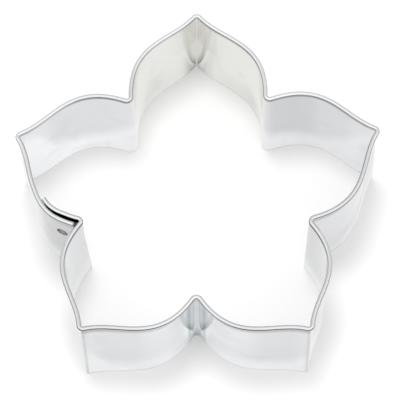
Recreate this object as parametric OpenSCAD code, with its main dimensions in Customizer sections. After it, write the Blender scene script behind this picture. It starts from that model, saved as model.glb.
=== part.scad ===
// Five-petal pastry cutter bent from one strip of tinplate.
// The strip starts on the lower side of the left petal and runs clockwise round
// the flower. Its inner end comes back past the valley there, lies inside its own
// start and is spot welded to it. The upper edge is rolled outwards into a small
// safe bead, and the plain lower edge cuts.
// Units are millimetres, +Z is up and the lower edge is at Z 0.

/* [Strip] */
// Height of the strip, from the cutting edge to the top of the rolled rim
strip_h = 25; // [18:0.5:40]
// Thickness of the tinplate
sheet_t = 0.3; // [0.2:0.05:0.5]
// Diameter of the hollow left inside the rolled rim
roll_bore = 0.45; // [0.35:0.05:0.8]
// Gap between the edge of the roll and the wall it comes back to
roll_gap = 0.08; // [0.05:0.01:0.12]

/* [Petals] */
// Distance from the middle of the flower to the sharp corner of a tip
tip_r = 41.35; // [36:0.05:60]
// Distance from the middle of the flower to the sharp corner of a valley
valley_r = 24.55; // [21:0.05:30]
// Angle between a petal's axis and each side at its tip
tip_flank = 37.6; // [30:0.1:45]
// How far the straight run at the tip pulls the side's curve
tip_pull = 8.6; // [6:0.1:12]
// Angle by which each side opens away from the petal's axis at the valley
valley_splay = 5.8; // [0:0.1:12]
// How far the straight run at the valley pulls the side's curve
valley_pull = 15.6; // [12:0.1:18]
// Bend radius of the wall at each tip
tip_bend_r = 0.5; // [0.3:0.05:1.5]
// Bend radius of the wall at each valley
valley_bend_r = 1.25; // [1.2:0.05:2]

/* [As bent by hand] */
// Rim corners of the tips, clockwise from the top one: [further out, further round]
tip_set = [[0.55, 0.05], [0.45, -0.8], [-0.55, -0.1], [-0.15, 1.05], [-0.1, -0.15]];
// Rim corners of the valleys, clockwise from the one after the top tip
valley_set = [[0.4, -0.1], [-0.25, -0.2], [-0.45, 0.35], [0.25, 0.75], [-0.15, 0.4]];
// Rim corner that the strip's outer end aims at
start_set = [0.75, -0.25];
// How far the cutting edge departs from the rim at each tip
tip_lean = [[0.1, -0.05], [0.2, 0.4], [0.7, 0.4], [0.6, -1.1], [-0.3, 0.1]];
// How far the cutting edge departs from the rim at each valley
valley_lean = [[-0.45, 0.5], [-0.3, 0.25], [-0.55, -0.2], [-1.55, -0.15], [-0.85, 0]];
// How far the cutting edge departs from the rim at the strip's outer end
start_lean = [-0.3, -0.15];

/* [Lap of the two ends] */
// Distance from the valley's sharp corner to the strip's outer end
lap_start = 2.1; // [2:0.1:6]
// Length over which the two ends lie on each other
lap_len = 9.4; // [7:0.1:12]
// Gap between the lapped walls
lap_gap = 0.08; // [0.03:0.01:0.15]
// Gap between the two rims beside the outer end
rim_gap = 0.55; // [0.3:0.05:1.2]
// How far the outer end flares outwards at the rim
rim_flare = 0.85; // [0:0.05:1.5]
// How far the outer end flares outwards at the cutting edge
foot_flare = 0.4; // [0:0.05:0.8]
// Length along the outer end over which its flare grows
flare_len = 8.5; // [5:0.5:12]
// How far the inner end springs inwards at the foot of the valley bend
foot_spring = 0.5; // [0:0.05:0.8]

/* [Spot welds] */
// Diameter of a spot weld
weld_d = 2.6; // [1.8:0.1:3]
// Distance from the top of the rim down to the upper weld
weld_drop = 8.2; // [6:0.2:10]
// Distance from the upper weld down to the lower one
weld_pitch = 10; // [7:0.5:12]
// Distance from the strip's outer end to the upper weld
upper_in = 3.6; // [2.4:0.1:4]
// Distance from the strip's outer end to the lower weld
lower_in = 2.4; // [2.4:0.1:4]
// Depth of the dish that the electrodes leave in each face
weld_dish = 0.08; // [0.04:0.01:0.12]

/* [Hidden] */
petals = 5;
petal_turn = 360 / petals;
// Steps along one side of a petal, round a bend, along the lap and round the roll
side_steps = 12;
tip_steps = 4;
valley_steps = 6;
lap_steps = 6;
roll_steps = 7;
dish_steps = 3;
table_steps = 40;

roll_in_r = roll_bore / 2;
roll_out_r = roll_in_r + sheet_t;
roll_z = strip_h - roll_out_r;
// The roll stops where its outer skin would come within roll_gap of the wall
roll_end = acos(-(roll_in_r - roll_gap) / roll_out_r);
// The lapped walls lie on each other up to just above the upper weld, then part
part_above = 0.65 * weld_d;
part_z = strip_h - weld_drop + part_above;
// Under the roll the wall stands upright, so the roll comes back to it evenly
neck_z = roll_z - roll_out_r - roll_gap;
LEVELS = [0, part_z, neck_z, roll_z];
RIM = 3;
wall_step = sheet_t + lap_gap;
// Share of the lap over which the inner rim closes in at its free end,
// and the share over which the spring at the foot dies away
close_share = 0.75;
spring_share = 0.22;

// Plan directions are headings in degrees, clockwise from +Y
function heading(a) = [sin(a), cos(a)];
function left_of(v) = [-v.y, v.x];
function unit(v) = v / norm(v);
function mix(a, b, w) = a + (b - a) * w;
function smooth(w) = let (c = min(max(w, 0), 1)) c * c * (3 - 2 * c);
function height_share(level) = min(LEVELS[level] / neck_z, 1);

// Sharp corners of the outline, each nudged as the real strip was bent
function corner(r, a, set, lean, level) =
    let (w = height_share(level), d = set + lean * (1 - w))
    heading(a) * (r + d[0]) + heading(a + 90) * d[1];
function tip_point(i, level) =
    corner(tip_r, i * petal_turn, tip_set[i], tip_lean[i], level);
function valley_point(i, level) =
    corner(valley_r, (i + 0.5) * petal_turn, valley_set[i], valley_lean[i], level);
function start_point(level) =
    corner(valley_r, (petals - 1.5) * petal_turn, start_set, start_lean, level);

// One side of a petal is a cubic curve from its valley to its tip.
// hand is 1 on the side clockwise of the petal's axis, and -1 on the other.
function side_curve(valley, tip, axis, hand) = [
    valley,
    valley + valley_pull * heading(axis + hand * valley_splay),
    tip + tip_pull * heading(axis + 180 - hand * tip_flank),
    tip];
function curve_at(c, t) =
    let (u = 1 - t)
    u * u * u * c[0] + 3 * u * u * t * c[1] + 3 * u * t * t * c[2] + t * t * t * c[3];
function curve_dir(c, t) =
    let (u = 1 - t)
    unit(u * u * (c[1] - c[0]) + 2 * u * t * (c[2] - c[1]) + t * t * (c[3] - c[2]));
function length_table(c) =
    [for (i = 0, run = 0; i <= table_steps;
          i = i + 1,
          run = run + norm(curve_at(c, i / table_steps) - curve_at(c, (i - 1) / table_steps)))
        [run, i / table_steps]];
function side_length(table) = table[table_steps][0];

// Length that a bend takes off each side beside a sharp corner
valley_trim = valley_bend_r / tan(petal_turn / 2 - valley_splay);
tip_trim = tip_bend_r / tan(tip_flank);

// Points of a side, from shares of its length; each is [place, direction of travel]
function side_points(c, shares, travel) =
    let (table = length_table(c), whole = side_length(table))
    [for (s = shares)
        let (t = lookup(s * whole, table))
        [curve_at(c, t), travel * curve_dir(c, t)]];

// A bend between two ends that run towards each other: an arc-like cubic
function meet(a, b) =
    let (q = b[0] - a[0], den = a[1].x * b[1].y - a[1].y * b[1].x)
    a[0] + a[1] * ((q.x * b[1].y - q.y * b[1].x) / den);
function bend_points(a, b, steps) =
    let (turn = acos(a[1] * b[1]),
         k = 4 / 3 * tan(turn / 4) / tan(turn / 2),
         x = meet(a, b),
         c = [a[0], mix(a[0], x, k), mix(b[0], x, k), b[0]])
    [for (i = [1 : steps - 1]) [curve_at(c, i / steps), curve_dir(c, i / steps)]];

// Shares of a side's length at which it is divided, between its two bends
side_run = side_length(length_table(
    side_curve(valley_point(0, RIM), tip_point(0, RIM), 0, 1)));
full_shares = [for (i = [0 : side_steps])
    mix(valley_trim / side_run, 1 - tip_trim / side_run, i / side_steps)];
down_shares = [for (i = [side_steps : -1 : 0]) full_shares[i]];
lap_shares = [for (i = [0 : lap_steps]) (lap_start + lap_len * i / lap_steps) / side_run];
// The lap takes about a quarter of its side, so the rest gets three quarters of the steps
after_steps = side_steps * 3 / 4;
start_shares = concat(lap_shares, [for (i = [1 : after_steps])
    mix(lap_shares[lap_steps], 1 - tip_trim / side_run, i / after_steps)]);

// The outer end of the strip: the lower side of the last petal, flared outwards
function start_side(shares, level) =
    let (w = height_share(level),
         raw = side_points(
             side_curve(start_point(level), tip_point(petals - 1, level),
                        (petals - 1) * petal_turn, -1), shares, 1),
         full = mix(foot_flare, rim_flare, w),
         clear_at = lap_start + lap_len / 2 + flare_len)
    [for (i = [0 : len(raw) - 1])
        let (flare = full * smooth((clear_at - shares[i] * side_run) / flare_len))
        [raw[i][0] + left_of(raw[i][1]) * flare, raw[i][1]]];

// The inner end of the strip lies inside the outer one.
// Its rim stands off by its own bead, and more beside the outer end.
function stand_off(share, level) =
    let (along = (share * side_run - lap_start) / lap_len,
         near_end = smooth((1 - along) / close_share),
         spring = foot_spring * pow(max(0, 1 - along / spring_share), 2))
    level >= RIM - 1
        ? 2 * roll_out_r + mix(lap_gap, rim_gap, near_end)
        : wall_step + spring * (1 - LEVELS[level] / part_z);
function inner_end(level) =
    let (outer = start_side(lap_shares, level))
    [for (i = [0 : lap_steps])
        [outer[i][0] - left_of(outer[i][1]) * stand_off(lap_shares[i], level), outer[i][1]]];

function up_side(i, level) =
    side_points(side_curve(valley_point((i + petals - 1) % petals, level), tip_point(i, level),
                           i * petal_turn, -1), full_shares, 1);
function down_side(i, level) =
    side_points(side_curve(valley_point(i, level), tip_point(i, level),
                           i * petal_turn, 1), down_shares, -1);

// A petal: up one side, round the tip, down the other side
function petal(up, down) =
    concat(up, bend_points(up[len(up) - 1], down[0], tip_steps), down);
// Petals in the order in which the strip makes them, starting at its outer end
ORDER = [for (i = [0 : petals - 1]) (i + petals - 1) % petals];
function strip_path(level) =
    let (runs = [for (i = ORDER)
            petal(i == ORDER[0] ? start_side(start_shares, level) : up_side(i, level),
                  down_side(i, level))],
         tail = inner_end(level),
         ends = [for (k = [0 : petals - 1]) k < petals - 1 ? runs[k + 1] : tail])
    [for (k = [0 : petals - 1])
        each concat(runs[k], bend_points(runs[k][len(runs[k]) - 1], ends[k][0], valley_steps),
                    k == petals - 1 ? tail : [])];

PATHS = [for (level = [0 : RIM]) strip_path(level)];
stations = len(PATHS[0]);

// One cross-section: up the inner skin, round the roll, back and down the outer skin
function skin_point(i, level, out) =
    let (s = PATHS[level][i], p = s[0] + left_of(s[1]) * out)
    [p.x, p.y, LEVELS[level]];
function roll_point(i, r, a) =
    let (s = PATHS[RIM][i],
         out = roll_out_r - sheet_t / 2 + r * cos(a),
         p = s[0] + left_of(s[1]) * out)
    [p.x, p.y, roll_z + r * sin(a)];
function section(i) = concat(
    [for (level = [0 : RIM - 1]) skin_point(i, level, -sheet_t / 2)],
    [for (k = [0 : roll_steps]) roll_point(i, roll_out_r, mix(180, -roll_end, k / roll_steps))],
    [for (k = [roll_steps : -1 : 0]) roll_point(i, roll_in_r, mix(180, -roll_end, k / roll_steps))],
    [for (level = [RIM - 1 : -1 : 0]) skin_point(i, level, sheet_t / 2)]);
ring = 2 * (RIM + roll_steps + 1);

SKIN = [for (i = [0 : stations - 1]) each section(i)];
box_x = [for (p = SKIN) p.x];
box_y = [for (p = SKIN) p.y];
// The origin lies under the middle of the cutter's box, on the plane it stands on
middle = [(min(box_x) + max(box_x)) / 2, (min(box_y) + max(box_y)) / 2, 0];

// Both skins are cut into triangles along the same diagonals, so the sheet and the gap stay even
wall_faces = [for (i = [0 : stations - 2], k = [0 : ring - 1])
    let (a = i * ring + k, b = i * ring + (k + 1) % ring, c = b + ring, d = a + ring)
    each (k < ring / 2 ? [[a, b, c], [a, c, d]] : [[a, b, d], [b, c, d]])];
function cap_faces(first, flip) =
    [for (k = [0 : ring / 2 - 2])
        let (a = first + k, b = a + 1, d = first + ring - 1 - k, c = d - 1)
        each (flip ? [[a, c, b], [a, d, c]] : [[a, b, c], [a, c, d]])];

// Each weld: its distance from the strip's outer end, and its height
WELDS = [
    [upper_in, strip_h - weld_drop],
    [lower_in, strip_h - weld_drop - weld_pitch]];
// Where a weld sits: on the wall of the outer end, midway through both layers
function weld_frame(weld) =
    let (share = (lap_start + weld[0]) / side_run,
         z = weld[1],
         foot = start_side([share], 0)[0],
         rim = start_side([share], RIM)[0],
         out = left_of(rim[1]),
         place = mix(foot[0], rim[0], z / neck_z) - out * wall_step / 2,
         tilt = atan((rim[0] - foot[0]) * out / neck_z))
    [[place.x, place.y, z], atan2(out.y, out.x), tilt];
module at_weld(weld) {
    f = weld_frame(weld);
    translate(f[0])
        rotate([0, 0, f[1]])
        rotate([0, 90 - f[2], 0])
        children();
}
// A weld joins both layers and the gap between them, sunk just below each face
weld_sink = 0.02;
weld_len = sheet_t + wall_step - 2 * weld_sink;
weld_hole_len = 3;

module petal_strip() {
    color("gainsboro")
    translate(-middle)
    difference() {
        polyhedron(points = SKIN, faces = concat(wall_faces, cap_faces(0, true),
            cap_faces((stations - 1) * ring, false)));
        for (weld = WELDS)
            at_weld(weld) cylinder(d = weld_d, h = weld_hole_len, center = true, $fn = 48);
    }
}

// Half of a weld's outline, from its middle to its edge, dished by the electrode
dished = [for (k = [0 : dish_steps])
    [weld_d / 2 * k / dish_steps,
     weld_len / 2 - weld_dish * (1 - pow(k / dish_steps, 2))]];
module spot_weld(weld) {
    translate(-middle)
    at_weld(weld)
    rotate_extrude($fn = 48)
        polygon(concat([for (p = dished) [p.x, -p.y]],
                       [for (k = [dish_steps : -1 : 0]) dished[k]]));
}

module upper_spot_weld() {
    color("dimgray") spot_weld(WELDS[0]);
}

module lower_spot_weld() {
    color("dimgray") spot_weld(WELDS[1]);
}

petal_strip();
upper_spot_weld();
lower_spot_weld();
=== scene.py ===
# %% [markdown]
# # A flower pastry cutter in bright tinplate
#
# The real cutter is one strip of tinplate about 25 mm deep, bent into five petals. Its upper
# edge is rolled outwards into a thin bead, its lower edge is left plain to cut, and its two
# ends lie on each other at one valley, held by two spot welds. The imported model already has
# that shape as flat facets. Bright tin shows every facet in its reflections, so this lesson
# makes the same strip again as one smooth sheet, on exactly the same outline, and then gives
# it its finish, its marks and its light.
#
# The frame comes first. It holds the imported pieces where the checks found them, and every
# piece made here is in metres in that same frame.

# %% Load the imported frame
import math

import bpy
import numpy as np
from mathutils import Matrix, Vector


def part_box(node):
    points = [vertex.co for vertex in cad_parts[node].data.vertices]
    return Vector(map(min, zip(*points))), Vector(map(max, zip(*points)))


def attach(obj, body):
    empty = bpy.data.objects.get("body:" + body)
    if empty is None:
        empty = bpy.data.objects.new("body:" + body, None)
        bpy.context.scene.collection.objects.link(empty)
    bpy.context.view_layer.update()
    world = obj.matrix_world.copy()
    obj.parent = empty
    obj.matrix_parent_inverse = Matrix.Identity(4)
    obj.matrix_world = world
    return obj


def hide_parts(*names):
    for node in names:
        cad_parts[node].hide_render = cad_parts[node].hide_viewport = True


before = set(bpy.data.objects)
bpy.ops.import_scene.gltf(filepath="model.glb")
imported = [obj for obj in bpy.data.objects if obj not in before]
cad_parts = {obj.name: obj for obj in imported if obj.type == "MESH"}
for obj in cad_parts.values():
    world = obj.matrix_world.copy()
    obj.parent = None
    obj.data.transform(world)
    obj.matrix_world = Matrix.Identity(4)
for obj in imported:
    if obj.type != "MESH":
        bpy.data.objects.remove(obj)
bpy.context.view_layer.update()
strip_low, strip_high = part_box("petal_strip")
MM = 0.001
print("packed strip, mm:", [round(side / MM, 2) for side in strip_high - strip_low])

# %% [markdown]
# ## The sizes of the strip
#
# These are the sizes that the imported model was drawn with, in millimetres. They could be
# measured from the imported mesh, but a designer would rather repeat the few driving sizes,
# because a smooth surface has to follow the rule behind the facets and not the facets. The
# places of the corners are no design sizes: a program fitted them to the traced outline.

# %% Sizes in millimetres and degrees
STRIP_HEIGHT = 25.0
SHEET = 0.3
ROLL_BORE = 0.45
ROLL_GAP = 0.08
TIP_RADIUS = 41.35
VALLEY_RADIUS = 24.55
TIP_FLANK = 37.6
TIP_PULL = 8.6
VALLEY_SPLAY = 5.8
VALLEY_PULL = 15.6
TIP_BEND = 0.5
VALLEY_BEND = 1.25
PETALS = 5
TURN = 360 / PETALS

# Corners, clockwise from the back tip: [further out, further round]. They come from a fit by
# a program to the outline in the photograph, rounded to 0.05 mm
TIP_SET = [[0.55, 0.05], [0.45, -0.8], [-0.55, -0.1], [-0.15, 1.05], [-0.1, -0.15]]
VALLEY_SET = [[0.4, -0.1], [-0.25, -0.2], [-0.45, 0.35], [0.25, 0.75], [-0.15, 0.4]]
START_SET = [0.75, -0.25]
TIP_LEAN = [[0.1, -0.05], [0.2, 0.4], [0.7, 0.4], [0.6, -1.1], [-0.3, 0.1]]
VALLEY_LEAN = [[-0.45, 0.5], [-0.3, 0.25], [-0.55, -0.2], [-1.55, -0.15], [-0.85, 0]]
START_LEAN = [-0.3, -0.15]

LAP_START = 2.1
LAP_LENGTH = 9.4
LAP_GAP = 0.08
RIM_GAP = 0.55
RIM_FLARE = 0.85
FOOT_FLARE = 0.4
FLARE_LENGTH = 8.5
FOOT_SPRING = 0.5
CLOSE_SHARE = 0.75
SPRING_SHARE = 0.22

WELD_DIAMETER = 2.6
WELD_DROP = 8.2
WELD_PITCH = 10
UPPER_IN = 3.6
LOWER_IN = 2.4
WELD_DISH = 0.08

ROLL_IN = ROLL_BORE / 2
ROLL_OUT = ROLL_IN + SHEET
ROLL_HEIGHT = STRIP_HEIGHT - ROLL_OUT
NECK_HEIGHT = ROLL_HEIGHT - ROLL_OUT - ROLL_GAP
PART_HEIGHT = STRIP_HEIGHT - WELD_DROP + 0.65 * WELD_DIAMETER
WALL_STEP = SHEET + LAP_GAP
print("rolled rim, mm across:", round(2 * ROLL_OUT, 3))

# %% [markdown]
# ## The outline of the flower
#
# Each side of a petal is one cubic curve from its valley to its tip, and each corner is a
# small bend between two sides. An outline could be drawn by hand as a Bezier curve, but the
# three outlines needed here, at the foot, where the lapped walls part and at the rim, have to
# match point for point, so that the lines that join them run straight up the wall. Working
# them out from the corners keeps them in step.

# %% Corners of the outline at any height
LEVELS = {"foot": 0.0, "part": PART_HEIGHT, "rim": NECK_HEIGHT}


def heading(degrees):
    """Plan direction of an angle counted clockwise from +Y."""
    return np.array([math.sin(math.radians(degrees)), math.cos(math.radians(degrees))])


def left_of(direction):
    return np.array([-direction[1], direction[0]])


def corner(radius, degrees, nudge, lean, height):
    """A sharp corner of the outline: its place at the rim, plus its share of the lean."""
    share = min(height / NECK_HEIGHT, 1)
    outwards, round_by = np.array(nudge) + np.array(lean) * (1 - share)
    return heading(degrees) * (radius + outwards) + heading(degrees + 90) * round_by


def tip_corner(petal, height):
    return corner(TIP_RADIUS, petal * TURN, TIP_SET[petal], TIP_LEAN[petal], height)


def valley_corner(petal, height):
    degrees = (petal + 0.5) * TURN
    return corner(VALLEY_RADIUS, degrees, VALLEY_SET[petal], VALLEY_LEAN[petal], height)


def start_corner(height):
    return corner(VALLEY_RADIUS, (PETALS - 1.5) * TURN, START_SET, START_LEAN, height)


# %% One side of a petal, and the bend between two sides
CURVE_SAMPLES = np.linspace(0, 1, 801)


def cubic(points, share):
    share = np.asarray(share)[..., None]
    rest = 1 - share
    weights = [rest**3, 3 * rest**2 * share, 3 * rest * share**2, share**3]
    return sum(weight * point for weight, point in zip(weights, points))


def cubic_direction(points, share):
    share = np.asarray(share)[..., None]
    rest = 1 - share
    steps = [points[1] - points[0], points[2] - points[1], points[3] - points[2]]
    slope = rest**2 * steps[0] + 2 * rest * share * steps[1] + share**2 * steps[2]
    return slope / np.linalg.norm(slope, axis=-1, keepdims=True)


def side_curve(valley, tip, axis, hand):
    """Control points of a side; hand is 1 on the side clockwise of the petal's axis."""
    return [
        valley,
        valley + VALLEY_PULL * heading(axis + hand * VALLEY_SPLAY),
        tip + TIP_PULL * heading(axis + 180 - hand * TIP_FLANK),
        tip,
    ]


def side_run(curve):
    """Length along the curve at each of CURVE_SAMPLES."""
    steps = np.diff(cubic(curve, CURVE_SAMPLES), axis=0)
    return np.concatenate([[0], np.cumsum(np.linalg.norm(steps, axis=1))])


def side_points(curve, shares, travel):
    """Rows of place and direction of travel, at shares of the side's length."""
    run = side_run(curve)
    at = np.interp(np.asarray(shares) * run[-1], run, CURVE_SAMPLES)
    return np.hstack([cubic(curve, at), travel * cubic_direction(curve, at)])


def bend_points(before, after, steps):
    """An arc-like cubic between two ends that run towards each other."""
    start, leave = before[:2], before[2:]
    end, arrive = after[:2], after[2:]
    gap = end - start
    cross = leave[0] * arrive[1] - leave[1] * arrive[0]
    meeting = start + leave * ((gap[0] * arrive[1] - gap[1] * arrive[0]) / cross)
    turn = math.acos(float(np.clip(leave @ arrive, -1, 1)))
    pull = 4 / 3 * math.tan(turn / 4) / math.tan(turn / 2)
    curve = [start, start + (meeting - start) * pull, end + (meeting - end) * pull, end]
    shares = np.arange(1, steps) / steps
    return np.hstack([cubic(curve, shares), cubic_direction(curve, shares)])


# %% How finely each stretch is divided
SIDE_STEPS = 26
TIP_STEPS = 8
VALLEY_STEPS = 12
LAP_STEPS = 36
AFTER_STEPS = 20
FULL_RUN = side_run(side_curve(valley_corner(0, NECK_HEIGHT), tip_corner(0, NECK_HEIGHT), 0, 1))[-1]
valley_trim = VALLEY_BEND / math.tan(math.radians(TURN / 2 - VALLEY_SPLAY))
tip_trim = TIP_BEND / math.tan(math.radians(TIP_FLANK))
FULL_SHARES = np.linspace(valley_trim / FULL_RUN, 1 - tip_trim / FULL_RUN, SIDE_STEPS + 1)
LAP_SHARES = (LAP_START + LAP_LENGTH * np.linspace(0, 1, LAP_STEPS + 1)) / FULL_RUN
AFTER_SHARES = np.linspace(LAP_SHARES[-1], FULL_SHARES[-1], AFTER_STEPS + 1)[1:]
START_SHARES = np.concatenate([LAP_SHARES, AFTER_SHARES])
print("one side of a petal, mm:", round(float(FULL_RUN), 2))

# %% [markdown]
# ## The lap of the two ends
#
# The strip starts on the lower side of the left petal. Its outer end flares away from the
# flower, most of all at the rim, and the inner end lies against it below and stands off from
# it above, because each carries its own bead. That dark slot between the two rims is the one
# place where the photograph shows that the cutter is a bent strip, so it is worked out here
# and not left to a texture.

# %% The two ends and the whole path at one height


def smooth(share):
    share = np.clip(share, 0, 1)
    return share * share * (3 - 2 * share)


def start_side(shares, height):
    """The outer end of the strip, flared outwards."""
    last = PETALS - 1
    curve = side_curve(start_corner(height), tip_corner(last, height), last * TURN, -1)
    rows = side_points(curve, shares, 1)
    full = FOOT_FLARE + (RIM_FLARE - FOOT_FLARE) * min(height / NECK_HEIGHT, 1)
    clear_at = LAP_START + LAP_LENGTH / 2 + FLARE_LENGTH
    flare = full * smooth((clear_at - np.asarray(shares) * FULL_RUN) / FLARE_LENGTH)
    outwards = np.stack([-rows[:, 3], rows[:, 2]], axis=1)
    rows[:, :2] += outwards * flare[:, None]
    return rows


def inner_end(height):
    """The inner end, which stands off from the outer one by its bead at the rim."""
    rows = start_side(LAP_SHARES, height)
    along = (LAP_SHARES * FULL_RUN - LAP_START) / LAP_LENGTH
    if height >= NECK_HEIGHT:
        near_end = smooth((1 - along) / CLOSE_SHARE)
        stand_off = 2 * ROLL_OUT + LAP_GAP + (RIM_GAP - LAP_GAP) * near_end
    else:
        spring = FOOT_SPRING * np.clip(1 - along / SPRING_SHARE, 0, None) ** 2
        stand_off = WALL_STEP + spring * (1 - height / PART_HEIGHT)
    outwards = np.stack([-rows[:, 3], rows[:, 2]], axis=1)
    rows[:, :2] -= outwards * stand_off[:, None]
    return rows


def strip_path(height):
    """Rows of place and direction along the whole strip, from its outer end to its inner one."""
    order = [(first + PETALS - 1) % PETALS for first in range(PETALS)]
    runs = []
    for petal in order:
        up_curve = side_curve(
            valley_corner((petal + PETALS - 1) % PETALS, height), tip_corner(petal, height),
            petal * TURN, -1)
        down_curve = side_curve(
            valley_corner(petal, height), tip_corner(petal, height), petal * TURN, 1)
        first = petal == order[0]
        up = start_side(START_SHARES, height) if first else side_points(up_curve, FULL_SHARES, 1)
        down = side_points(down_curve, FULL_SHARES[::-1], -1)
        runs.append(np.vstack([up, bend_points(up[-1], down[0], TIP_STEPS), down]))
    runs.append(inner_end(height))
    rows = [runs[0]]
    for run in runs[1:]:
        rows += [bend_points(rows[-1][-1], run[0], VALLEY_STEPS), run]
    return np.vstack(rows)


paths = {level: strip_path(height) for level, height in LEVELS.items()}
STATIONS = len(paths["rim"])
print("stations along the strip:", STATIONS)

# %% [markdown]
# The flower's own middle is not the middle of its box, and the frame puts the box over the
# origin. So the outlines are moved by the difference, which is measured on the outermost
# skin, the outside of the bead at the rim.

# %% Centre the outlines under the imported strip


def skin(rows, out):
    """Places of the path's rows, moved outwards by out."""
    return rows[:, :2] + np.stack([-rows[:, 3], rows[:, 2]], axis=1) * out


bead = skin(paths["rim"], 2 * ROLL_OUT - SHEET / 2)
foot = skin(paths["foot"], SHEET / 2)
outermost = np.vstack([bead, foot])
box_middle = (outermost.min(axis=0) + outermost.max(axis=0)) / 2
packed_middle = np.array((strip_low + strip_high) / 2)[:2] / MM
shift = packed_middle - box_middle
print("outlines moved by, mm:", shift.round(3))


def placed(rows):
    """Plan places as frame coordinates in metres, at height 0."""
    flat = (rows[:, :2] + shift) * MM
    return np.hstack([flat, np.zeros((len(flat), 1))])


# %% [markdown]
# ## How bright the tin is along the strip
#
# The wall is duller above than at its foot, the back petal is a little straw-coloured, the
# bottom valley is bluish, and the bead is brightest where it runs across the view. The light
# foot, the darker wall above it, the dark wedges and lines at the tips and at the bottom
# valley, the bead's brightness and the dark lines beside it are painted reflections of the
# room and of the neighbouring walls. One colour for the whole strip would look like plastic,
# and the room can't be rebuilt from one picture. So two tables of stops along the strip paint
# these reflections and the tints in. They were tuned by comparing renders with the
# photograph, region by region, and at some corners by the ratio of their brightness from
# pixel to pixel. They bend round every corner with the sheet. The price is that what was a
# reflection stays on the metal under other light, most of all at the back tip and at the
# bottom valley.
# region, and at some corners by the ratio of their brightness from pixel to pixel. They bend
# round every corner with the sheet. The price is that what was a reflection stays on the
# metal under other light, most of all at the back tip and at the bottom valley.

# %% Painted reflections and shade, as stops along the strip
rim_steps = np.linalg.norm(np.diff(paths["rim"][:, :2], axis=0), axis=1)
along = np.concatenate([[0], np.cumsum(rim_steps)]) * MM

# Painted reflection and shade along the strip, with its tint: [mm along, brightness above,
# brightness at the foot, height of the light foot in mm, warmth from -1 for blue-grey to 1 for
# straw]
WALL_PAINTED_LIGHT_AND_TINT_STOPS = [
    # left petal, from the outer end of the lap
    [0, 0.56, 0.75, 4, 0], [8, 0.56, 0.75, 4, 0], [13, 0.66, 0.80, 4, 0], [24, 0.74, 0.86, 5, 0],
    [27, 0.80, 0.90, 22, 0], [31, 0.77, 0.91, 19, 0], [34, 0.74, 0.93, 12, 0],
    [40, 0.72, 0.95, 6.5, 0], [46, 0.725, 0.92, 6.5, 0], [51, 0.735, 0.88, 10, 0],
    [52.8, 0.74, 0.85, 12, 0.1],
    # back petal
    [55, 0.76, 0.83, 12, 0.35], [58, 0.79, 0.80, 6, 0.8], [70, 0.80, 0.80, 6, 0.8],
    [74, 0.80, 0.79, 5, 1], [75.6, 0.79, 0.78, 8, 1], [76.5, 0.77, 0.71, 12, 1],
    [77.1, 0.80, 0.62, 8, 1], [77.8, 0.80, 0.50, 6, 1], [78.6, 0.81, 0.32, 3, 1],
    [79.83, 0.79, 0.22, 2, 1], [79.95, 0.71, 0.50, 3, 1], [80.62, 0.71, 0.50, 3, 1],
    [80.74, 0.83, 0.22, 1.8, 1], [82.2, 0.81, 0.46, 1.8, 1], [83.5, 0.80, 0.70, 8, 1],
    [84.1, 0.79, 0.66, 13, 1], [84.8, 0.74, 0.73, 10, 1], [85.4, 0.69, 0.78, 16, 1],
    [86, 0.79, 0.79, 14, 1], [88, 0.79, 0.76, 6, 1], [104, 0.77, 0.66, 8, 1],
    [107, 0.74, 0.82, 9, 0.3],
    # right petal
    [109, 0.62, 0.84, 7.5, 0], [114, 0.61, 0.84, 6, 0], [118, 0.63, 0.83, 5.5, 0],
    [120, 0.675, 0.80, 6, 0], [122, 0.67, 0.80, 7, 0], [126, 0.68, 0.79, 11, 0],
    [130, 0.73, 0.80, 18, 0], [134, 0.78, 0.80, 22, 0], [137, 0.74, 0.80, 6, 0],
    [158, 0.725, 0.78, 5, 0], [161, 0.68, 0.80, 5, 0],
    # lower right petal, up to the middle of the bottom valley
    [164, 0.63, 0.80, 5, 0], [180, 0.695, 0.82, 5, 0], [187.7, 0.76, 0.86, 8, 0],
    [187.9, 0.62, 0.68, 8, 0], [188.45, 0.62, 0.68, 8, 0], [188.7, 0.75, 0.86, 8, 0],
    [192, 0.705, 0.87, 5, 0], [198, 0.72, 0.88, 4.5, 0], [202, 0.79, 0.88, 5, 0],
    [207, 0.80, 0.85, 6, 0], [210, 0.82, 0.77, 7, -0.3], [211.9, 0.96, 0.66, 5, -0.8],
    [212.8, 0.52, 0.36, 3, -1], [213.77, 0.84, 0.30, 3, -0.8], [214.1, 0.70, 0.28, 3, -1],
    [214.6, 0.65, 0.28, 3, -1],
    # lower left petal
    [215.7, 0.65, 0.28, 3, -1], [216.2, 0.72, 0.28, 3, -1], [216.5, 0.86, 0.30, 3, -0.8],
    [217.45, 0.50, 0.42, 3, -1], [218.4, 0.96, 0.64, 5, -0.8], [219.4, 0.82, 0.72, 6, -0.5],
    [220.5, 0.76, 0.78, 6, -0.3], [224, 0.80, 0.87, 6, 0], [228, 0.785, 0.88, 5, 0],
    [231, 0.73, 0.88, 4.5, 0], [237, 0.72, 0.88, 4.5, 0], [241.8, 0.77, 0.88, 12, 0],
    [242, 0.60, 0.66, 12, 0], [242.6, 0.60, 0.66, 12, 0], [242.9, 0.76, 0.86, 10, 0],
    [245, 0.76, 0.83, 6, 0], [250, 0.735, 0.79, 5, 0], [258, 0.69, 0.77, 5, 0],
    # inner end, in the lap
    [279, 0.69, 0.77, 5, 0],
]
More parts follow.
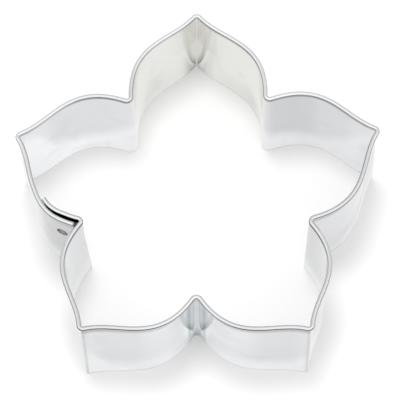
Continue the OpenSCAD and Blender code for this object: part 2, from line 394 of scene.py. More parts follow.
# Painted highlight and dark reflection of the bead: [mm along, its brightness, strength of the dark
# line below it]
BEAD_PAINTED_LIGHT_STOPS = [
    # left petal, from the outer end of the lap
    [0, 0.91, 0.8], [20, 0.93, 0.8], [30, 0.96, 0.4], [36, 0.98, 0.32], [44, 0.90, 0.74],
    [52, 0.90, 0.70],
    # back petal
    [58, 0.89, 0.35], [68, 0.98, 0.30], [76, 0.98, 0.25], [80, 0.97, 0.4], [86, 0.97, 0.60],
    [94, 0.92, 0.64], [102, 0.95, 0.50], [107, 0.95, 0.55],
    # right petal
    [112, 0.98, 0.56], [122, 0.92, 0.72], [133, 0.90, 0.55], [140, 0.87, 0.72], [150, 0.85, 0.7],
    [160, 0.86, 0.8],
    # lower right petal, up to the middle of the bottom valley
    [166, 0.90, 1], [176, 0.86, 0.75], [187, 0.88, 0.9], [194, 0.89, 1], [202, 0.83, 1],
    [209, 0.91, 0.75], [215, 0.95, 0.8],
    # lower left petal
    [221, 0.95, 0.7], [230, 0.88, 1], [238, 0.84, 1], [248, 0.86, 0.9], [258, 0.89, 1],
    [268, 0.90, 0.9],
    # inner end, in the lap
    [279, 0.90, 0.9],
]


def along_strip(stops):
    """The columns of a table of stops, each as one number for every station."""
    at, *columns = np.array(stops).T
    return [np.interp(along / MM, at, column) for column in columns]


bright, foot_bright, light_foot, warmth = along_strip(WALL_PAINTED_LIGHT_AND_TINT_STOPS)
bead_bright, bead_line = along_strip(BEAD_PAINTED_LIGHT_STOPS)
print("stops along the strip:", len(WALL_PAINTED_LIGHT_AND_TINT_STOPS), "on the wall,", len(BEAD_PAINTED_LIGHT_STOPS), "on the bead")

# %% The outline as a line of points that carries what the sheet needs to know


def line_of_points(name, places, **attributes):
    """A mesh of joined points; each keyword is a number or a vector for every point."""
    mesh = bpy.data.meshes.new(name)
    edges = [(i, i + 1) for i in range(len(places) - 1)]
    mesh.from_pydata([tuple(place) for place in places], edges, [])
    for key, values in attributes.items():
        values = np.asarray(values, dtype=np.float32)
        kind, field = ("FLOAT_VECTOR", "vector") if values.ndim == 2 else ("FLOAT", "value")
        mesh.attributes.new(key, kind, "POINT").data.foreach_set(field, values.ravel())
    guide = bpy.data.objects.new(name, mesh)
    bpy.context.scene.collection.objects.link(guide)
    return guide


def out_of(rows):
    """Outward direction at each station, as a flat vector."""
    return np.stack([-rows[:, 3], rows[:, 2], np.zeros(len(rows))], axis=1)


lap_end = np.zeros(STATIONS)
lap_end[: LAP_STEPS + 1] = 1
lap_end[-LAP_STEPS - 1 :] = -1
outline = line_of_points(
    "strip_outline",
    placed(paths["rim"]),
    foot=placed(paths["foot"]),
    part=placed(paths["part"]),
    rim=placed(paths["rim"]),
    foot_out=out_of(paths["foot"]),
    rim_out=out_of(paths["rim"]),
    lap_end=lap_end,
    along=along,
    bright=bright,
    foot_bright=foot_bright,
    light_foot=light_foot * MM,
    warmth=warmth,
    bead_bright=bead_bright,
    bead_line=bead_line,
)
print("strip length at the rim, mm:", round(along[-1] / MM, 1))

# %% [markdown]
# ## A plainer way to write node trees
#
# Both the sheet and its finish are node trees. Written call by call, a formula of ten nodes
# takes thirty lines. A small class that stands for a value in a tree lets the script write
# the formula with plain signs, and each sign still makes one node.

# %% A value in a node tree


class Field:
    """A value that flows through a node tree."""

    def __init__(self, tree, socket):
        self.tree = tree
        self.socket = socket

    def __add__(self, other):
        return combine("ADD", self, other)

    def __radd__(self, other):
        return combine("ADD", other, self)

    def __sub__(self, other):
        return combine("SUBTRACT", self, other)

    def __rsub__(self, other):
        return combine("SUBTRACT", other, self)

    def __mul__(self, other):
        if self.socket.type == "VECTOR":
            return add_node(self.tree, "ShaderNodeVectorMath", self, other, operation="SCALE")
        return combine("MULTIPLY", self, other)

    def __truediv__(self, other):
        return combine("DIVIDE", self, other)

    def __rtruediv__(self, other):
        return combine("DIVIDE", other, self)


# %% Add one node and fill its inputs


def combine(operation, *values):
    """One Math or Vector Math node, whichever suits the values."""
    tree = next(value.tree for value in values if isinstance(value, Field))
    vectors = [v for v in values if isinstance(v, Field) and v.socket.type == "VECTOR"]
    kind = "ShaderNodeVectorMath" if vectors else "ShaderNodeMath"
    return add_node(tree, kind, *values, operation=operation)


def put(tree, socket, value):
    if isinstance(value, Field):
        tree.links.new(value.socket, socket)
    elif value is not None:
        socket.default_value = value


def add_node(tree, kind, *values, out=0, **settings):
    """Adds a node, fills its open inputs in order, and returns one of its outputs."""
    node = tree.nodes.new(kind)
    for key, value in settings.items():
        setattr(node, key, value)
    for socket, value in zip([s for s in node.inputs if s.enabled], values):
        put(tree, socket, value)
    if isinstance(out, str):
        return Field(tree, node.outputs[out])
    return Field(tree, [s for s in node.outputs if s.enabled][out])


def fade(value, low, high, at_low=0.0, at_high=1.0):
    """A smooth change from at_low to at_high as value goes from low to high."""
    return add_node(value.tree, "ShaderNodeMapRange", value, low, high, at_low, at_high,
                    interpolation_type="SMOOTHSTEP")


# %% Read what the geometry carries, and start a tree


def attribute(tree, name, kind="FLOAT"):
    return add_node(tree, "GeometryNodeInputNamedAttribute", name, data_type=kind)


def sample(geometry, value, index, kind="FLOAT"):
    """The value that geometry holds at a point's index."""
    return add_node(value.tree, "GeometryNodeSampleIndex", geometry, value, index, data_type=kind)


def new_tree(name, kind, inputs, outputs):
    """A node tree with named inputs; returns it, its inputs as fields, and a way to end it."""
    tree = bpy.data.node_groups.new(name, kind)
    for label, socket_type, default in inputs:
        socket = tree.interface.new_socket(name=label, in_out="INPUT", socket_type=socket_type)
        if default is not None:
            socket.default_value = default
    for label, socket_type in outputs:
        tree.interface.new_socket(name=label, in_out="OUTPUT", socket_type=socket_type)
    entry = tree.nodes.new("NodeGroupInput")
    fields = {s.name: Field(tree, s) for s in entry.outputs if s.name}
    ending = tree.nodes.new("NodeGroupOutput")

    def finish_tree(**results):
        for label, value in results.items():
            put(tree, ending.inputs[label.replace("_", " ")], value)

    return tree, fields, finish_tree


# %% [markdown]
# ## The sheet, as a rule
#
# The strip is one section, swept along the outline: up the inner skin, round the roll, and
# back down the outer skin. A curve bevelled along a path would do for an upright wall, but
# this wall leans a little differently at every station. So the tree takes a plain tube with
# the right number of rings, works out from each point's number which station and which place
# in the section it is, and puts it there.

# %% The geometry tree of the rolled strip
LENGTH = "NodeSocketFloat"
strip_tree, given, finish_tree = new_tree(
    "Rolled strip",
    "GeometryNodeTree",
    [
        ("Outline", "NodeSocketGeometry", None),
        ("Strip height", LENGTH, 0.025),
        ("Sheet thickness", LENGTH, 0.0003),
        ("Edge bevel", LENGTH, 0.00004),
        ("Roll bore", LENGTH, 0.00045),
        ("Roll gap", LENGTH, 0.00008),
        ("Part height", LENGTH, 0.018),
        ("Part rounding", LENGTH, 0.0015),
        ("Wall rows", "NodeSocketInt", 70),
        ("Roll rows", "NodeSocketInt", 16),
        ("Weld marks", "NodeSocketObject", None),
        ("Weld radius", LENGTH, 0.0012),
        ("Weld plane", LENGTH, 0.00034),
        ("Weld dish", LENGTH, 0.00008),
        ("Weld lip", LENGTH, 0.00003),
        ("Lip width", LENGTH, 0.00018),
        ("Press margin", LENGTH, 0.0008),
        ("Metal", "NodeSocketMaterial", None),
    ],
    [("Geometry", "NodeSocketGeometry")],
)
guide = given["Outline"]
half_sheet = given["Sheet thickness"] / 2.0
roll_mid = given["Roll bore"] / 2.0 + half_sheet
roll_out = roll_mid + half_sheet
roll_height = given["Strip height"] - roll_out
neck_height = roll_height - roll_out - given["Roll gap"]
print("named inputs of the strip's tree:", len(given))

# %% Which station and which place in the section each point of the tube is
tree = strip_tree
stations = add_node(tree, "GeometryNodeAttributeDomainSize", guide, component="MESH")
rows_up = given["Wall rows"] + given["Roll rows"] + 1.0
ring = rows_up * 2.0
spine = add_node(tree, "GeometryNodeMeshLine", stations, None, None, (0.001, 0, 0))
spine = add_node(tree, "GeometryNodeMeshToCurve", spine)
hoop = add_node(tree, "GeometryNodeCurvePrimitiveCircle", ring)
tube_node = tree.nodes.new("GeometryNodeCurveToMesh")
put(tree, tube_node.inputs["Curve"], spine)
put(tree, tube_node.inputs["Profile Curve"], hoop)
put(tree, tube_node.inputs["Fill Caps"], True)
tube = Field(tree, tube_node.outputs[0])

index = add_node(tree, "GeometryNodeInputIndex")
station = combine("FLOOR", (index + 0.5) / ring)
place = index - station * ring
outer = combine("GREATER_THAN", place, rows_up - 0.5)
side = outer * 2.0 - 1.0
row = place + outer * (ring - 1.0 - place * 2.0)
wall_share = combine("MINIMUM", (row - 1.0) / (given["Wall rows"] - 1.0), 1.0)
roll_share = combine("MAXIMUM", (row - given["Wall rows"]) / given["Roll rows"], 0.0)
at_edge = combine("LESS_THAN", row, 0.5)

# %% The section: a straight wall, then the roll
roll_end = combine("ARCCOSINE", (given["Roll gap"] - given["Roll bore"] / 2.0) / roll_out)
angle = math.pi - (roll_end + math.pi) * roll_share
radius = roll_mid - side * half_sheet
bevel = given["Edge bevel"]
out = roll_mid + radius * combine("COSINE", angle) - side * at_edge * bevel
straight = combine("MAXIMUM", bevel + (roll_height - bevel) * wall_share, 0.0)
height = straight + radius * combine("SINE", angle)

# %% The wall between the three outlines
VECTOR = "FLOAT_VECTOR"


def at_station(name, kind=VECTOR):
    return sample(guide, attribute(tree, name, kind), station, kind)


level = combine("MINIMUM", height, neck_height)
past = level - given["Part height"]
rounding = given["Part rounding"]
eased = combine("POWER", combine("MAXIMUM", past + rounding, 0.0), 2.0) / (rounding * 4.0)
well_past = combine("GREATER_THAN", past, rounding)
ramp = eased + (past - eased) * well_past
low_slope = (at_station("part") - at_station("foot")) * (1.0 / given["Part height"])
high_slope = (at_station("rim") - at_station("part")) * (1.0 / (neck_height - given["Part height"]))
share_up = level / neck_height
outwards = at_station("foot_out") * (1.0 - share_up) + at_station("rim_out") * share_up
outwards = combine("NORMALIZE", outwards)
upright = add_node(tree, "ShaderNodeCombineXYZ", 0.0, 0.0, height)
spot = at_station("foot") + low_slope * level + (high_slope - low_slope) * ramp
spot = spot + outwards * out + upright

# %% [markdown]
# A spot welder's electrodes press both layers flat and leave a shallow dish with a raised lip
# on each outer face. A dark disc painted on the wall would give the colour but not the way
# the dent bends the reflections, so the tree presses the sheet itself: near each weld mark,
# the outward face of the outer end and the inward face of the inner end are moved onto the
# shape that an electrode leaves.

# %% The dents that the electrodes leave
marks = add_node(tree, "GeometryNodeObjectInfo", given["Weld marks"], out="Geometry")
nearest = add_node(tree, "GeometryNodeSampleNearest", marks, spot)
mark_place = sample(marks, add_node(tree, "GeometryNodeInputPosition"), nearest, VECTOR)
mark_axis = sample(marks, attribute(tree, "axis", VECTOR), nearest, VECTOR)
offset = spot - mark_place
depth = add_node(tree, "ShaderNodeVectorMath", offset, mark_axis, operation="DOT_PRODUCT",
                 out="Value")
flat = offset - mark_axis * depth
distance = add_node(tree, "ShaderNodeVectorMath", flat, operation="LENGTH", out="Value")
weld_radius = given["Weld radius"]
bowl = combine("MAXIMUM", 1.0 - combine("POWER", distance / weld_radius, 2.0), 0.0)
lip = combine("POWER", (distance - weld_radius) / given["Lip width"], 2.0)
lip = combine("EXPONENT", lip * -1.0)
pressed = side * (given["Weld plane"] - bowl * given["Weld dish"] + lip * given["Weld lip"])
PRESSED_FLAT_TO = 1.15
margin = weld_radius + given["Press margin"]
reach = fade(distance, weld_radius * PRESSED_FLAT_TO, margin, 1.0, 0.0)
faces_out = combine("GREATER_THAN", side * at_station("lap_end", "FLOAT"), 0.5)
spot = spot + mark_axis * ((pressed - depth) * reach * faces_out)

# %% Set the points and keep what the finish needs
shaped = add_node(tree, "GeometryNodeSetPosition", tube, None, spot)
inside_lap = combine("LESS_THAN", side * at_station("lap_end", "FLOAT"), -0.5)
kept = {
    "height": height,
    "skin": side,
    "roll": roll_share,
    "inside_lap": inside_lap,
}
CARRIED = ("along", "bright", "foot_bright", "light_foot", "warmth", "bead_bright", "bead_line")
for name in CARRIED:
    kept[name] = at_station(name, "FLOAT")
for name, value in kept.items():
    shaped = add_node(tree, "GeometryNodeStoreNamedAttribute", shaped, None, name, value,
                      data_type="FLOAT", domain="POINT")

# %% Smooth the skins, keep the edges sharp and give the metal
CREASE = math.radians(50)


def smoothed(tree, mesh, metal):
    """The end of both trees: smooth faces, sharp edges, real geometry and its material."""
    mesh = add_node(tree, "GeometryNodeSetShadeSmooth", mesh, None, True, domain="FACE")
    sharp = combine("GREATER_THAN", add_node(tree, "GeometryNodeInputMeshEdgeAngle"), CREASE)
    mesh = add_node(tree, "GeometryNodeSetShadeSmooth", mesh, sharp, False, domain="EDGE")
    mesh = add_node(tree, "GeometryNodeRealizeInstances", mesh)
    return add_node(tree, "GeometryNodeSetMaterial", mesh, None, metal)


# Setting the points turned the tube inside out, so its faces are turned back
shaped = add_node(tree, "GeometryNodeFlipFaces", shaped)
finish_tree(Geometry=smoothed(tree, shaped, given["Metal"]))
print("nodes in the strip's tree:", len(strip_tree.nodes))

# %% [markdown]
# ## The spot weld, as a rule
#
# The nugget is a short round plug through both layers. Its two faces are the dished, dull
# metal that was under the electrodes. A tree shapes a plain cylinder by the same bowl and lip
# as the dent, so the two can't disagree, and a little noise leaves the face uneven, as metal
# that has melted is.

# %% The geometry tree of a spot weld
weld_tree, given, finish_weld = new_tree(
    "Spot weld",
    "GeometryNodeTree",
    [
        ("Place", "NodeSocketGeometry", None),
        ("Radius", LENGTH, 0.0012),
        ("Half length", LENGTH, 0.00034),
        ("Dish", LENGTH, 0.00008),
        ("Lip", LENGTH, 0.00003),
        ("Lip width", LENGTH, 0.00018),
        ("Proud", LENGTH, 0.000008),
        ("Roughness of melt", LENGTH, 0.000012),
        ("Seed", LENGTH, 0.0),
        ("Metal", "NodeSocketMaterial", None),
    ],
    [("Geometry", "NodeSocketGeometry")],
)
tree = weld_tree
half = given["Half length"]
plug = add_node(tree, "GeometryNodeMeshCylinder", 64, 2, 12, given["Radius"], half * 2.0,
                fill_type="TRIANGLE_FAN")
position = add_node(tree, "GeometryNodeInputPosition")
apart = add_node(tree, "ShaderNodeSeparateXYZ", position)
parts = apart.socket.node.outputs
level = Field(tree, parts["Z"])
plan = add_node(tree, "ShaderNodeCombineXYZ", Field(tree, parts["X"]), Field(tree, parts["Y"]), 0.0)
distance = add_node(tree, "ShaderNodeVectorMath", plan, operation="LENGTH", out="Value")
from_middle = distance / given["Radius"]
bowl = combine("MAXIMUM", 1.0 - combine("POWER", from_middle, 2.0), 0.0)
lip = combine("POWER", (distance - given["Radius"]) / given["Lip width"], 2.0)
lip = combine("EXPONENT", lip * -1.0)
MELT_SCALE = 1500.0
melt = add_node(tree, "ShaderNodeTexNoise", plan, given["Seed"], MELT_SCALE, 2.0, 0.6,
                noise_dimensions="4D")
melt = (melt - 0.5) * 2.0 * given["Roughness of melt"] * bowl
face = half + given["Proud"] - bowl * given["Dish"] + lip * given["Lip"] + melt
level = combine("SIGN", level) * face
raised = add_node(tree, "ShaderNodeCombineXYZ", 0.0, 0.0, level)
plug = add_node(tree, "GeometryNodeSetPosition", plug, None, plan + raised)
plug = add_node(tree, "GeometryNodeStoreNamedAttribute", plug, None, "from_middle", from_middle,
                data_type="FLOAT", domain="POINT")
finish_weld(Geometry=smoothed(tree, plug, given["Metal"]))
print("nodes in the weld's tree:", len(weld_tree.nodes))

# %% [markdown]
# ## Finishes that both metals share
#
# Handling leaves marks on bright tin: soft cloudy patches where a thumb wiped it, and fine
# lines from the mill's rolls that run along the strip. Painting them as an image would fix
# their size to one picture. As shader groups they can be used in each metal with its own
# scale and strength.

# %% Handling marks: cloudy patches that dull the shine
SPECKS_PER_PATCH = 14.0
handling, given, finish_handling = new_tree(
    "Handling marks",
    "ShaderNodeTree",
    [("Place", "NodeSocketVector", None), ("Patch scale", LENGTH, 90.0), ("Amount", LENGTH, 1.0)],
    [("Mask", LENGTH), ("Fine", LENGTH)],
)
patches = add_node(handling, "ShaderNodeTexNoise", given["Place"], given["Patch scale"], 3.0, 0.55,
                   noise_dimensions="3D")
speck_scale = given["Patch scale"] * SPECKS_PER_PATCH
specks = add_node(handling, "ShaderNodeTexNoise", given["Place"], speck_scale, 4.0, 0.6,
                  noise_dimensions="3D")
finish_handling(Mask=fade(patches, 0.45, 0.75) * given["Amount"], Fine=specks)
print("nodes in the handling marks:", len(handling.nodes))

# %% Rolling lines: fine streaks along the strip
ALONG_SCALE = 45.0
rolling, given, finish_rolling = new_tree(
    "Rolling lines",
    "ShaderNodeTree",
    [("Along", LENGTH, 0.0), ("Up", LENGTH, 0.0), ("Line scale", LENGTH, 2600.0)],
    [("Lines", LENGTH)],
)
streak_place = add_node(rolling, "ShaderNodeCombineXYZ", given["Along"] * ALONG_SCALE,
                        given["Up"] * given["Line scale"], 0.0)
streaks = add_node(rolling, "ShaderNodeTexNoise", streak_place, 1.0, 3.0, 0.6,
                   noise_dimensions="2D")
finish_rolling(Lines=streaks)
print("nodes in the rolling lines:", len(rolling.nodes))

# %% [markdown]
# ## Bright tinplate
#
# Tinplate is steel with a thin skin of tin, melted to a mirror and then softened a little by
# handling. A plain grey would look like paint. What makes it metal is a sharp reflection of
# the white table in each wall, so the surface is fully metallic with low roughness. The stops
# along the strip paint its brightness above and at the foot, most of it painted reflection,
# with a soft uneven edge between the two, and its warmth. The roll's two shoulders carry
# painted reflections, the thin dark lines beside the bead, and painted shade darkens the wall
# under the roll and the inside of the lap. The strip's own lengths along and up are the place
# of the rolling lines, so these turn every corner with it. Each of these layers is a function
# of its own, so that one can be changed without reading the others.

# %% Small helpers for materials


def group_node(tree, group, **values):
    """A shader group in a material, with its inputs filled by name."""
    node = tree.nodes.new("ShaderNodeGroup")
    node.node_tree = group
    for label, value in values.items():
        put(tree, node.inputs[label.replace("_", " ")], value)
    return {s.name: Field(tree, s) for s in node.outputs}


def principled(material):
    """The material's Principled BSDF, made by Blender with the node tree."""
    material.use_nodes = True
    return material.node_tree.nodes["Principled BSDF"]


def blend_colours(tree, factor, first, second):
    """A colour between two, by factor."""
    node = tree.nodes.new("ShaderNodeMix")
    node.data_type = "RGBA"
    put(tree, node.inputs["Factor"], factor)
    for socket, value in zip([s for s in node.inputs if s.type == "RGBA"], (first, second)):
        put(tree, socket, value)
    return Field(tree, next(s for s in node.outputs if s.type == "RGBA"))


def strip_value(tree, name):
    """A number that the strip's tree left on each point."""
    return add_node(tree, "ShaderNodeAttribute", attribute_name=name, out="Fac")


# %% The tint of the tin
PLAIN_TIN = (0.994, 1.0, 1.016, 1)
STRAW_TIN = (1.004, 1.0, 0.955, 1)
BLUE_TIN = (0.955, 1.0, 1.035, 1)
STRAW_OUTSIDE = 0.3
TINT_LOST_ON_BEAD = 0.9


def tin_tint(tree, bead, inner_skin):
    """The colour of the tin, and where the sheet is straw-coloured."""
    warmth = strip_value(tree, "warmth") * (1.0 - bead * TINT_LOST_ON_BEAD)
    straw = fade(warmth, 0.0, 1.0)
    shown = straw * (STRAW_OUTSIDE + inner_skin * (1.0 - STRAW_OUTSIDE))
    tint = blend_colours(tree, shown, PLAIN_TIN, STRAW_TIN)
    return blend_colours(tree, fade(warmth, -1.0, 0.0, 1.0, 0.0), tint, BLUE_TIN), straw


# %% The brightness of the tin, with painted reflections
FOOT_SOFTNESS = 0.0034
FOOT_WANDER = 0.002
WANDER_SCALE = 260.0
PLAIN_FOOT = 0.78
PATCH_DULLS = 0.09


def tin_shade(tree, run, up, bead, patches, straw_outer_skin):
    """The stops' painted reflections as brightness, with a soft uneven edge between the light foot
    and the wall, and the bead's painted highlight.
    """
    wander = add_node(tree, "ShaderNodeTexNoise", run * WANDER_SCALE, 1.0, 3.0, 0.5,
                      noise_dimensions="1D")
    edge = strip_value(tree, "light_foot") + (wander - 0.5) * FOOT_WANDER
    above, below = strip_value(tree, "bright"), strip_value(tree, "foot_bright")
    # A guess: only the inside of the straw-coloured petal shows, so its outside is left plain,
    # without the painted reflections at its foot
    below = below + (PLAIN_FOOT - below) * straw_outer_skin
    shade = below + (above - below) * fade(up - edge, -FOOT_SOFTNESS, FOOT_SOFTNESS)
    shade = shade * (1.0 - patches * PATCH_DULLS)
    return shade + (strip_value(tree, "bead_bright") - shade) * bead


# %% Where painted shade and painted reflections darken the tin
# Heights and lengths are in metres, and places round the roll go from 0 to 1
# Painted reflections: thin dark lines at the roll's two shoulders
WALL_TOP = (0.0239, 0.0243)
NEAR_SHOULDER_ENDS = (0.065, 0.11)
FAR_SHOULDER_STARTS = (0.49, 0.52)
FAR_SHOULDER_ENDS = (0.59, 0.63)
CUT_EDGE = 0.0009
CUT_EDGE_DARKENING = 0.03
BEAD_FOOT = (0.0234, 0.0238)
BEAD_END = (0.0003, 0.0009)
# Painted shade under the roll on the outer skin, and inside the lap's slot
UNDER_ROLL = (0.0208, 0.0226)
UNDER_ROLL_SHADE = 0.45
LAP_MOUTH = (0.0236, 0.0244)
LAP_SHADE = 0.75


def painted_shade_and_reflection(tree, run, up, roll, inner_skin):
    """How much painted shade and painted reflection darken the tin, from 0 to 1: dark lines at the
    roll's shoulders, shade under the roll and inside the lap, and a darkening at the cut edges and
    at the bead's end.
    """
    near = fade(up, *WALL_TOP) * fade(roll, *NEAR_SHOULDER_ENDS, 1.0, 0.0)
    far = fade(roll, *FAR_SHOULDER_STARTS) * fade(roll, *FAR_SHOULDER_ENDS, 1.0, 0.0)
    painted_dark = combine("MAXIMUM", near, far) * inner_skin * strip_value(tree, "bead_line")
    places = [
        fade(up, 0.0, CUT_EDGE, 1.0, 0.0) * CUT_EDGE_DARKENING,
        fade(up, *BEAD_FOOT) * fade(run, *BEAD_END, 1.0, 0.0),
        fade(up, *UNDER_ROLL, 0.0, UNDER_ROLL_SHADE) * (1.0 - inner_skin),
        strip_value(tree, "inside_lap") * fade(up, *LAP_MOUTH, LAP_SHADE, 0.0),
    ]
    for painted_there in places:
        painted_dark = combine("MAXIMUM", painted_dark, painted_there)
    return painted_dark


# %% Build the tinplate
# The dark grey that painted shade and painted reflections mix towards
PAINTED_SHADE_GREY = (0.07, 0.07, 0.07, 1)
PAINTED_SHADE_COVERS = 0.96
BEAD_STARTS = 0.06


def make_tinplate():
    material = bpy.data.materials.new("bright_tinplate")
    shader = principled(material)
    tree = material.node_tree
    run, up = strip_value(tree, "along"), strip_value(tree, "height")
    roll = strip_value(tree, "roll")
    bead = fade(roll, 0.0, BEAD_STARTS)
    inner_skin = fade(strip_value(tree, "skin"), -0.5, 0.5, 1.0, 0.0)
    place = add_node(tree, "ShaderNodeTexCoord", out="Object")
    marks = group_node(tree, handling, Place=place, Patch_scale=90.0, Amount=1.0)
    lines = group_node(tree, rolling, Along=run, Up=up)["Lines"]

    tint, straw = tin_tint(tree, bead, inner_skin)
    shade = tin_shade(tree, run, up, bead, marks["Mask"], straw * (1.0 - inner_skin))
    # Painted shade and painted dark reflections
    painted_dark = painted_shade_and_reflection(tree, run, up, roll, inner_skin)
    colour = add_node(tree, "ShaderNodeVectorMath", tint, shade, operation="SCALE")
    colour = blend_colours(tree, painted_dark * PAINTED_SHADE_COVERS, colour, PAINTED_SHADE_GREY)
    put(tree, shader.inputs["Base Color"], colour)
    shader.inputs["Metallic"].default_value = 1.0
    put(tree, shader.inputs["Roughness"], 0.11 + marks["Mask"] * 0.08 + lines * 0.05)
    grain = lines * 0.6 + marks["Fine"] * 0.4
    put(tree, shader.inputs["Normal"], add_node(tree, "ShaderNodeBump", 0.05, 0.00002, None, grain))
    return material


tinplate = make_tinplate()
print("nodes in the tinplate:", len(tinplate.node_tree.nodes))

# %% [markdown]
# ## The weld's dull metal
#
# Under the electrodes the tin melts off and the steel shows grey, with a darker ring where
# the heat stopped. The ring follows the distance from the weld's own middle, which the tree
# left on each point, so it stays round on a curved wall.

# %% Build the weld's metal
MIDDLE_STEEL = (0.30, 0.30, 0.31, 1)
RING_STEEL = (0.07, 0.07, 0.075, 1)
SCUFFED_STEEL = (0.45, 0.44, 0.43, 1)


def make_weld_metal():
    material = bpy.data.materials.new("burnt_weld_steel")
    shader = principled(material)
    tree = material.node_tree
    place = add_node(tree, "ShaderNodeTexCoord", out="Object")
    marks = group_node(tree, handling, Place=place, Patch_scale=900.0, Amount=1.0)
    out = add_node(tree, "ShaderNodeAttribute", attribute_name="from_middle", out="Fac")
    uneven = out + (marks["Fine"] - 0.5) * 0.5
    ring = fade(uneven, 0.35, 0.85)
    colour = blend_colours(tree, ring, MIDDLE_STEEL, RING_STEEL)
    colour = blend_colours(tree, marks["Mask"] * 0.5, colour, SCUFFED_STEEL)
    put(tree, shader.inputs["Base Color"], colour)
    shader.inputs["Metallic"].default_value = 0.85
    put(tree, shader.inputs["Roughness"], 0.38 + marks["Fine"] * 0.25)
    bump = add_node(tree, "ShaderNodeBump", 0.3, 0.00003, None, marks["Fine"])
    put(tree, shader.inputs["Normal"], bump)
    return material


weld_metal = make_weld_metal()
print("nodes in the weld's metal:", len(weld_metal.node_tree.nodes))

# %% [markdown]
# ## Where the welds sit
#
# Each weld stands square to the lapped walls, midway through both layers. Its place comes
# from the same outline as the walls, so a weld can't drift off the lap.

# %% The two weld marks


def weld_frame(inwards, height):
    """Place in metres and outward axis of a weld, from its distance to the strip's outer end."""
    share = (LAP_START + inwards) / FULL_RUN
    foot = start_side([share], 0)[0]
    rim = start_side([share], NECK_HEIGHT)[0]
    outwards = left_of(rim[2:])
    lean = rim[:2] - foot[:2]
    flat = foot[:2] + lean * height / NECK_HEIGHT - outwards * WALL_STEP / 2
    tilt = math.atan(lean @ outwards / NECK_HEIGHT)
    axis = Vector((*(outwards * math.cos(tilt)), -math.sin(tilt)))
    return Vector((*(flat + shift), height)) * MM, axis


upper_height = STRIP_HEIGHT - WELD_DROP
weld_frames = {
    "upper_spot_weld": weld_frame(UPPER_IN, upper_height),
    "lower_spot_weld": weld_frame(LOWER_IN, upper_height - WELD_PITCH),
}
weld_marks = line_of_points(
    "weld_marks",
    [spot for spot, _ in weld_frames.values()],
    axis=[tuple(axis) for _, axis in weld_frames.values()],
)
for name, (spot, axis) in weld_frames.items():
    print(name, "at mm", [round(value / MM, 2) for value in spot])

# %% [markdown]
# ## Make the pieces
#
# A modifier that stays on a piece would be worked out again by every tool that reads it. So
# each tree is run once, its result is kept as a plain mesh at the origin, and the modifier
# and the guide lines go.

# %% Run a tree and keep its result


def run_tree(tree, source, name, sizes):
    """Runs a tree on source with sizes by input name, and keeps the result as a new piece."""
    modifier = source.modifiers.new(tree.name, "NODES")
    modifier.node_group = tree
    for item in tree.interface.items_tree:
        if item.item_type == "SOCKET" and item.in_out == "INPUT" and item.name in sizes:
            modifier[item.identifier] = sizes[item.name]
    depsgraph = bpy.context.evaluated_depsgraph_get()
    evaluated = source.evaluated_get(depsgraph)
    mesh = bpy.data.meshes.new_from_object(
        evaluated, preserve_all_data_layers=True, depsgraph=depsgraph)
    mesh.name = name
    piece = bpy.data.objects.new(name, mesh)
    bpy.context.scene.collection.objects.link(piece)
    source.modifiers.remove(modifier)
    return piece


def stand_for(piece, node):
    """The piece rides on the cutter's one body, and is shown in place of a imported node."""
    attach(piece, "root")
    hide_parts(node)


def triangles(piece):
    piece.data.calc_loop_triangles()
    return len(piece.data.loop_triangles)


# %% The smooth strip
strip = run_tree(strip_tree, outline, "rolled_petal_strip", {
    "Strip height": STRIP_HEIGHT * MM,
    "Sheet thickness": SHEET * MM,
    "Roll bore": ROLL_BORE * MM,
    "Roll gap": ROLL_GAP * MM,
    "Part height": PART_HEIGHT * MM,
    "Weld marks": weld_marks,
    "Weld radius": WELD_DIAMETER / 2 * MM,
    "Weld plane": (WALL_STEP + SHEET) / 2 * MM,
    "Weld dish": WELD_DISH * MM,
    "Metal": tinplate,
})
stand_for(strip, "petal_strip")
print("strip triangles:", triangles(strip))

# %% The two welds
seed_mesh = bpy.data.meshes.new("weld_seed")
for seed, (name, (spot, axis)) in enumerate(weld_frames.items()):
    seed_point = bpy.data.objects.new("weld_seed", seed_mesh)
    bpy.context.scene.collection.objects.link(seed_point)
    weld = run_tree(weld_tree, seed_point, "dished_" + name, {
        "Radius": WELD_DIAMETER / 2 * MM,
        "Half length": (WALL_STEP + SHEET) / 2 * MM,
        "Dish": WELD_DISH * MM,
        "Seed": float(seed),
        "Metal": weld_metal,
    })
    turned = axis.to_track_quat("Z", "Y").to_matrix().to_4x4()
    weld.data.transform(Matrix.Translation(spot) @ turned)
    stand_for(weld, name)
    bpy.data.objects.remove(seed_point)
    print(weld.name, "triangles:", triangles(weld))
for guide_object in (outline, weld_marks):
    bpy.data.objects.remove(guide_object)

# %% [markdown]
# ## Floor, light and camera
#
# The photograph was taken from high in front, in a white sweep under a large soft light. A
# single strong lamp would leave hard glints on the bead and a hard shadow. So the room itself
# is the light: bright overhead and dim only low down, where the bead's flanks reflect it as
# thin dark lines. A wide round lamp, high up and a little behind, adds the soft shadows
# towards the viewer. The table shows itself nearly white in the tin, and the camera sees it
# with a little white added, so that its paper stays white where nothing shades it.

# %% The white table
TABLE_HALF = 3.0
PAPER = (0.985, 0.985, 0.985, 1)
WHITE = (1.0, 1.0, 1.0, 1)


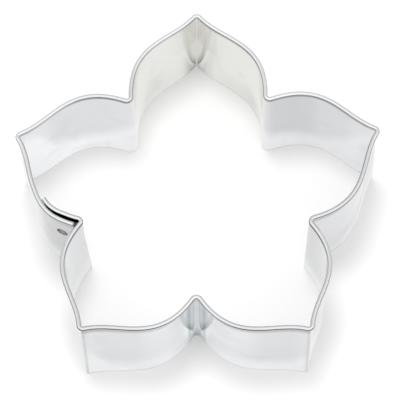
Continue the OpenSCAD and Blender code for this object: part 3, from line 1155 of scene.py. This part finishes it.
def make_table(camera_white, mirror_white):
    """Paper that adds a share of plain white for the camera and for the tin's reflections."""
    mesh = bpy.data.meshes.new("table")
    corners = [(x * TABLE_HALF, y * TABLE_HALF, 0) for x, y in ((-1, -1), (1, -1), (1, 1), (-1, 1))]
    mesh.from_pydata(corners, [], [(0, 1, 2, 3)])
    table = bpy.data.objects.new("table", mesh)
    bpy.context.scene.collection.objects.link(table)
    material = bpy.data.materials.new("white_table")
    material.use_nodes = True
    tree = material.node_tree
    tree.nodes.clear()
    paper = add_node(tree, "ShaderNodeBsdfDiffuse", PAPER)
    white = add_node(tree, "ShaderNodeEmission", WHITE, 1.0)
    path = tree.nodes.new("ShaderNodeLightPath").outputs
    by_camera = Field(tree, path["Is Camera Ray"]) * camera_white
    seen = by_camera + Field(tree, path["Is Glossy Ray"]) * mirror_white
    mixed = add_node(tree, "ShaderNodeMixShader", seen, paper, white)
    output = tree.nodes.new("ShaderNodeOutputMaterial")
    put(tree, output.inputs["Surface"], mixed)
    mesh.materials.append(material)
    return table


table = make_table(camera_white=0.3, mirror_white=0.85)
print("table, m across:", 2 * TABLE_HALF)

# %% The room: bright overhead, dim near the horizon
# Each pair is the value in front of the cutter and the one behind it
HORIZON = (0.05, 0.30)
OVERHEAD = (1.0, 0.7)
BRIGHTENS_FROM = (0.10, 0.15)
BRIGHTENS_TO = (0.42, 0.50)
BEHIND_FROM, BEHIND_TO = 0.0, 0.6


def make_room():
    """Bright overhead and dim low down, with a lighter horizon behind the cutter."""
    world = bpy.data.worlds.new("studio_room")
    world.use_nodes = True
    tree = world.node_tree
    view = add_node(tree, "ShaderNodeTexCoord", out="Generated")
    axes = add_node(tree, "ShaderNodeSeparateXYZ", view).socket.node.outputs
    behind = fade(Field(tree, axes["Y"]), BEHIND_FROM, BEHIND_TO)
    horizon, overhead, low, high = (
        front + behind * (back - front)
        for front, back in (HORIZON, OVERHEAD, BRIGHTENS_FROM, BRIGHTENS_TO))
    rise = (Field(tree, axes["Z"]) - low) / (high - low)
    strength = horizon + (overhead - horizon) * fade(rise, 0.0, 1.0)
    background = tree.nodes["Background"]
    background.inputs["Color"].default_value = WHITE
    put(tree, background.inputs["Strength"], strength)
    bpy.context.scene.world = world
    return world


print("room:", make_room().name)

# %% The soft lamp


def make_lamp(azimuth, elevation, distance, size, power):
    """A round area lamp aimed at the cutter; azimuth is clockwise from +Y."""
    flat = heading(azimuth) * math.cos(math.radians(elevation))
    direction = Vector((*flat, math.sin(math.radians(elevation))))
    data = bpy.data.lights.new("soft_lamp", "AREA")
    data.shape = "DISK"
    data.size = size
    data.energy = power
    lamp = bpy.data.objects.new("soft_lamp", data)
    lamp.location = direction * distance
    lamp.rotation_mode = "QUATERNION"
    lamp.rotation_quaternion = direction.to_track_quat("Z", "Y")
    lamp.visible_glossy = False
    bpy.context.scene.collection.objects.link(lamp)
    return lamp


lamp = make_lamp(azimuth=-25, elevation=80, distance=1.0, size=0.30, power=4.2)
print("lamp at m:", [round(value, 2) for value in lamp.location])

# %% [markdown]
# ## The camera
#
# A camera set by eye never quite lines up. This one was worked out backwards: the place, the
# turn and the lens were changed until the rim and the cutting edge of the model fell on those
# in the photograph. It looks down steeply from in front, through a long lens, so that the far
# and the near petals have almost the same size.

# %% The camera, as the photograph's
CAMERA_RISE = 66.118
CAMERA_TURN = -0.381
CAMERA_ROLL = 0.106
CAMERA_DISTANCE = 0.712
CAMERA_AIM = Vector((0.5155, 3.597, 0.0)) * MM
CAMERA_LENS = 283.6
SENSOR = 36.0


def make_camera():
    """A camera that looks at CAMERA_AIM; its axes are worked out from the three angles."""
    rise, turn = math.radians(CAMERA_RISE), math.radians(CAMERA_TURN)
    level = math.cos(rise)
    back = Vector((math.sin(turn) * level, -math.cos(turn) * level, math.sin(rise)))
    right = Vector((math.cos(turn), math.sin(turn), 0))
    up = back.cross(right)
    roll = math.radians(CAMERA_ROLL)
    rolled_right = right * math.cos(roll) + up * math.sin(roll)
    rolled_up = up * math.cos(roll) - right * math.sin(roll)
    data = bpy.data.cameras.new("photo_camera")
    data.lens = CAMERA_LENS
    data.sensor_width = SENSOR
    camera = bpy.data.objects.new("photo_camera", data)
    turned = Matrix((rolled_right, rolled_up, back)).transposed().to_4x4()
    camera.matrix_world = Matrix.Translation(CAMERA_AIM + back * CAMERA_DISTANCE) @ turned
    bpy.context.scene.collection.objects.link(camera)
    bpy.context.scene.camera = camera
    return camera


camera = make_camera()
bpy.context.scene.view_settings.view_transform = "Standard"
print("camera at mm:", [round(value / MM, 1) for value in camera.matrix_world.translation])
